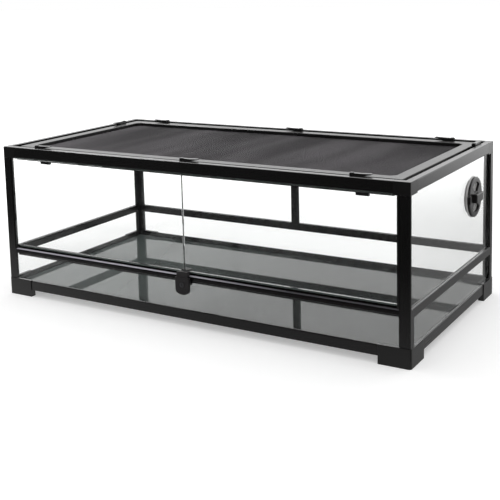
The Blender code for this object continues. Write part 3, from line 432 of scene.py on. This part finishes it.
def studio_paper(name, colour):
    """Pale paper that keeps the object's shadow, turns white far off and has its own tone in mirrors."""
    material, tree, shader = start_material(name)
    set_inputs(tree, shader, {"Base Color": (*colour, 1), "Roughness": PAPER_ROUGHNESS,
                              "Specular IOR Level": 0.0})
    rays = add_node(tree, "ShaderNodeLightPath").outputs
    place = object_place(tree)
    along = axes(tree, place)
    distance = add_node(tree, "ShaderNodeVectorMath", {0: place}, operation="LENGTH").outputs["Value"]
    seen = number(tree, "MAXIMUM", rays["Is Camera Ray"], rays["Is Transmission Ray"])
    lift = number(tree, "MULTIPLY", seen, ramp(tree, distance, GLOW_REACH, GLOW_STRENGTH))
    glow = add_node(tree, "ShaderNodeEmission", {"Strength": lift}).outputs[0]
    paper = add_node(tree, "ShaderNodeAddShader", {0: shader.outputs[0], 1: glow}).outputs[0]

    glint = number(tree, "MULTIPLY", ramp(tree, along["Y"], GLINT_Y, GLINT_AHEAD),
                   ramp(tree, along["X"], GLINT_X, GLINT_ASIDE))
    glint = number(tree, "MAXIMUM", glint, ramp(tree, along["Y"], GLINT_BEYOND_Y, GLINT_BEYOND))
    mirrored = add_node(tree, "ShaderNodeEmission", {"Strength": glint}).outputs[0]
    # Glossy Depth counts reflections alone; Is Glossy Ray also holds for a ray that went through glass
    bounced = number(tree, "MINIMUM", rays["Glossy Depth"], 1.0)
    shown = add_node(tree, "ShaderNodeMixShader", {0: bounced, 1: paper, 2: mirrored}).outputs[0]
    set_inputs(tree, tree.nodes["Material Output"], {"Surface": shown})
    return material


def studio_world(name, light):
    """White to the camera and through glass, even light on the object, darker in mirrors at the front."""
    world = bpy.data.worlds.new(name)
    world.use_nodes = True
    tree = world.node_tree
    tree.nodes.clear()
    rays = add_node(tree, "ShaderNodeLightPath").outputs
    seen = number(tree, "MAXIMUM", rays["Is Camera Ray"], rays["Is Transmission Ray"])
    direction = add_node(tree, "ShaderNodeTexCoord").outputs["Generated"]
    behind = ramp(tree, axes(tree, direction)["Y"], SKY_Y, SKY_MIRRORED)
    even = add_node(tree, "ShaderNodeMix", {"Factor": rays["Is Glossy Ray"], "A": light, "B": behind},
                    data_type="FLOAT").outputs["Result"]
    background = add_node(tree, "ShaderNodeBackground",
                          {"Color": (1, 1, 1, 1), "Strength": number(tree, "MAXIMUM", seen, even)})
    add_node(tree, "ShaderNodeOutputWorld", {"Surface": background.outputs[0]})
    return world


def give(names, material):
    """Put one material in every slot of the named CAD nodes."""
    for name in names:
        node = bpy.data.objects[name]
        if not node.material_slots:
            node.data.materials.append(material)
        for slot in node.material_slots:
            slot.link = "DATA"
            slot.material = material


def box(node):
    """Lowest and highest corners of a node."""
    low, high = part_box(node)
    return Vector(low), Vector(high)


def select_only(*shapes):
    """Select these shapes alone, with the first one active."""
    bpy.ops.object.select_all(action="DESELECT")
    for shape in shapes:
        shape.select_set(True)
    bpy.context.view_layer.objects.active = shapes[0]


def settle_mesh(shape):
    """Move a shape's place and turn into its mesh."""
    select_only(shape)
    bpy.ops.object.transform_apply(location=True, rotation=True, scale=True)


def add_wire(first, last, radius, axis):
    """Wire between two points along X or Y."""
    bpy.ops.object.select_all(action="DESELECT")
    turn = (0, pi / 2, 0) if axis == "X" else (pi / 2, 0, 0)
    bpy.ops.mesh.primitive_cylinder_add(vertices=WIRE_SIDES, radius=radius, depth=(last - first).length,
                                        end_fill_type="NGON", location=(first + last) / 2, rotation=turn)
    wire = bpy.context.object
    settle_mesh(wire)
    return wire


def add_wires(axis, low, high, level, pitch, radius):
    """One layer of wires along X or Y, a pitch apart, that fills the box at its level."""
    step = 1 if axis == "X" else 0
    first, last = low.copy(), high.copy()
    first.z = last.z = level
    first[step] = last[step] = low[step] + pitch
    wires = add_wire(first, last, radius, axis)
    offset = [0.0, 0.0, 0.0]
    offset[step] = pitch
    repeat = wires.modifiers.new("repeat", "ARRAY")
    repeat.count = int((high[step] - low[step]) / pitch) - 1
    repeat.use_relative_offset = False
    repeat.use_constant_offset = True
    repeat.constant_offset_displace = offset
    bpy.ops.object.modifier_apply(modifier="repeat")
    return wires


def add_lamp(name, place, edge, power):
    """Square lamp that looks at the object."""
    bpy.ops.object.light_add(type="AREA", location=place)
    lamp = bpy.context.object
    lamp.name = name
    lamp.data.size = edge
    lamp.data.energy = power
    aim = Vector(LAMP_TARGET) - Vector(place)
    lamp.rotation_euler = aim.to_track_quat("-Z", "Y").to_euler()


def add_camera(name, look):
    """Camera at the photograph's viewing angle."""
    bpy.ops.object.camera_add(location=look.eye, rotation=look.turn)
    camera = bpy.context.object
    camera.name = name
    camera.data.sensor_width = SENSOR_WIDTH
    camera.data.lens = look.lens
    camera.data.shift_y = look.lift
    camera.data.clip_end = CAMERA_REACH
    return camera


class TERRARIUM_OT_frame(Operator):
    """Finish the coated rails, posts, sill and screen frame"""
    bl_idname = "terrarium.frame_finish"
    bl_label = "Frame finish"

    def execute(self, context):
        look = settings().metal_finish
        colour, rough, grain = tuple(look.metal), look.gloss, look.grain
        give(LONG_RAILS, coated("rail_coating_long", colour, rough, grain, ALONG_X, coat=1.0))
        give(CROSS_RAILS, coated("rail_coating_cross", colour, rough, grain, ALONG_Y, coat=1.0))
        give(POSTS, coated("post_coating", colour, rough, grain, ALONG_Z, coat=1.0))
        # The sill's nose gets a painted highlight.
        give(["front_sill"], painted_highlight_sill("sill_coating_painted_highlight", colour, tuple(look.line), rough, grain))
        give(["screen_frame"], coated("screen_frame_coating", colour, rough * SCREEN_FRAME_DULLER, grain,
                                      coat=0.65))
        return {"FINISHED"}


class TERRARIUM_OT_mouldings(Operator):
    """Finish the feet, corner elbows, door stiles and latches"""
    bl_idname = "terrarium.mouldings"
    bl_label = "Mouldings"

    def execute(self, context):
        colour = tuple(settings().metal_finish.plastic)
        give(MOULDINGS, coated("moulded_corner", colour, roughness=0.34, grain=0.0009, depth=0.00003,
                               coat=1.0))
        give(["screen_latch_" + name for name in LATCHES],
             coated("moulded_latch", colour, roughness=0.24, grain=0.0007, coat=1.0))
        return {"FINISHED"}


class TERRARIUM_OT_vent(Operator):
    """Finish the vent's dial, flange and nut"""
    bl_idname = "terrarium.vent_finish"
    bl_label = "Vent finish"

    def execute(self, context):
        look = settings().fitting_finish
        give(["vent_dial"], coated("moulded_dial", tuple(look.dial), roughness=0.30, grain=0.0008,
                                   depth=0.00004, coat=1.0))
        give(["vent_flange", "vent_nut"],
             coated("moulded_vent", tuple(look.flange), roughness=0.38, grain=0.0008, tone=0.06))
        return {"FINISHED"}


class TERRARIUM_OT_glazing(Operator):
    """Finish the panes, the floor and the door seals"""
    bl_idname = "terrarium.glazing"
    bl_label = "Glazing"

    def execute(self, context):
        look = settings().glass_finish
        give(PANES, clear_glass("float_glass", tuple(look.tint)))
        # The floor glass gets painted shade and painted light.
        give(["floor_panel"], floor_glass("floor_glass", tuple(look.floor)))
        give(SEALS, coated("door_seal_rubber", tuple(look.seal), roughness=0.5, grain=0.0012,
                           stretch=SEAL_GRAIN, dust=0.0))
        return {"FINISHED"}


class TERRARIUM_OT_lock(Operator):
    """Finish the lock's casting, catch and key cylinder"""
    bl_idname = "terrarium.lock_finish"
    bl_label = "Lock finish"

    def execute(self, context):
        look = settings().fitting_finish
        give(["lock_body", "lock_catch"],
             coated("lock_casting", tuple(look.casting), roughness=0.36, grain=0.0010, depth=0.00005))
        give(["lock_cylinder"],
             coated("key_cylinder_steel", tuple(look.key), roughness=0.30, grain=0.0004, metallic=1.0))
        return {"FINISHED"}


class TERRARIUM_OT_mesh(Operator):
    """Weave the mesh of the top from crossing wires"""
    bl_idname = "terrarium.weave_mesh"
    bl_label = "Woven mesh"

    def execute(self, context):
        look = settings().weave
        low, high = box("screen_mesh")
        radius = look.wire / 2
        middle = (low.z + high.z) / 2
        layers = [add_wires(axis, low, high, level, look.pitch, radius)
                  for axis, level in (("X", middle - radius), ("Y", middle + radius))]
        select_only(*layers)
        bpy.ops.object.join()
        weave = bpy.context.object
        weave.name = "woven_mesh"
        weave.data.materials.append(mesh_wire("black_mesh_wire", tuple(look.colour)))
        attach(weave, "screen_top")
        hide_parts("screen_mesh")
        return {"FINISHED"}


class TERRARIUM_OT_stage(Operator):
    """Set up the floor, the world, the lamps and the camera"""
    bl_idname = "terrarium.stage"
    bl_label = "Stage"

    def execute(self, context):
        look = settings().stage
        scene = context.scene
        scene.view_settings.view_transform = "Standard"
        bpy.ops.object.select_all(action="DESELECT")
        bpy.ops.mesh.primitive_plane_add(size=FLOOR_EDGE, location=(0, 0, 0))
        floor = bpy.context.object
        floor.name = "studio_floor"
        settle_mesh(floor)
        floor.data.materials.append(studio_paper("studio_paper", look.floor))
        scene.world = studio_world("studio", look.light)
        for lamp in LAMPS:
            add_lamp(*lamp)
        scene.camera = add_camera("studio_camera", look)
        return {"FINISHED"}


OPERATORS = (TERRARIUM_OT_frame, TERRARIUM_OT_mouldings, TERRARIUM_OT_vent, TERRARIUM_OT_glazing,
             TERRARIUM_OT_lock, TERRARIUM_OT_mesh, TERRARIUM_OT_stage)


class TERRARIUM_PT_panel(Panel):
    """Steps and settings of the dressing"""
    bl_label = "Glass terrarium"
    bl_idname = "TERRARIUM_PT_panel"
    bl_space_type = "VIEW_3D"
    bl_region_type = "UI"
    bl_category = "Terrarium"

    def draw(self, context):
        values = context.scene.terrarium
        for group in (values.metal_finish, values.fitting_finish, values.glass_finish, values.weave,
                      values.stage):
            column = self.layout.column()
            for key in group.__annotations__:
                column.prop(group, key)
        for step in OPERATORS:
            self.layout.operator(step.bl_idname)


CLASSES = ((FrameFinish, FittingFinish, GlassFinish, MeshWeave, StageSetting, TerrariumSettings)
           + OPERATORS + (TERRARIUM_PT_panel,))


def register():
    """Add the classes and the scene's settings."""
    for item in CLASSES:
        bpy.utils.register_class(item)
    bpy.types.Scene.terrarium = PointerProperty(type=TerrariumSettings)


def unregister():
    """Remove the settings and the classes."""
    del bpy.types.Scene.terrarium
    for item in reversed(CLASSES):
        bpy.utils.unregister_class(item)


def main():
    """Run every step in order."""
    register()
    bpy.ops.terrarium.frame_finish()
    bpy.ops.terrarium.mouldings()
    bpy.ops.terrarium.vent_finish()
    bpy.ops.terrarium.glazing()
    bpy.ops.terrarium.lock_finish()
    bpy.ops.terrarium.weave_mesh()
    bpy.ops.terrarium.stage()


if __name__ == "__main__":
    main()
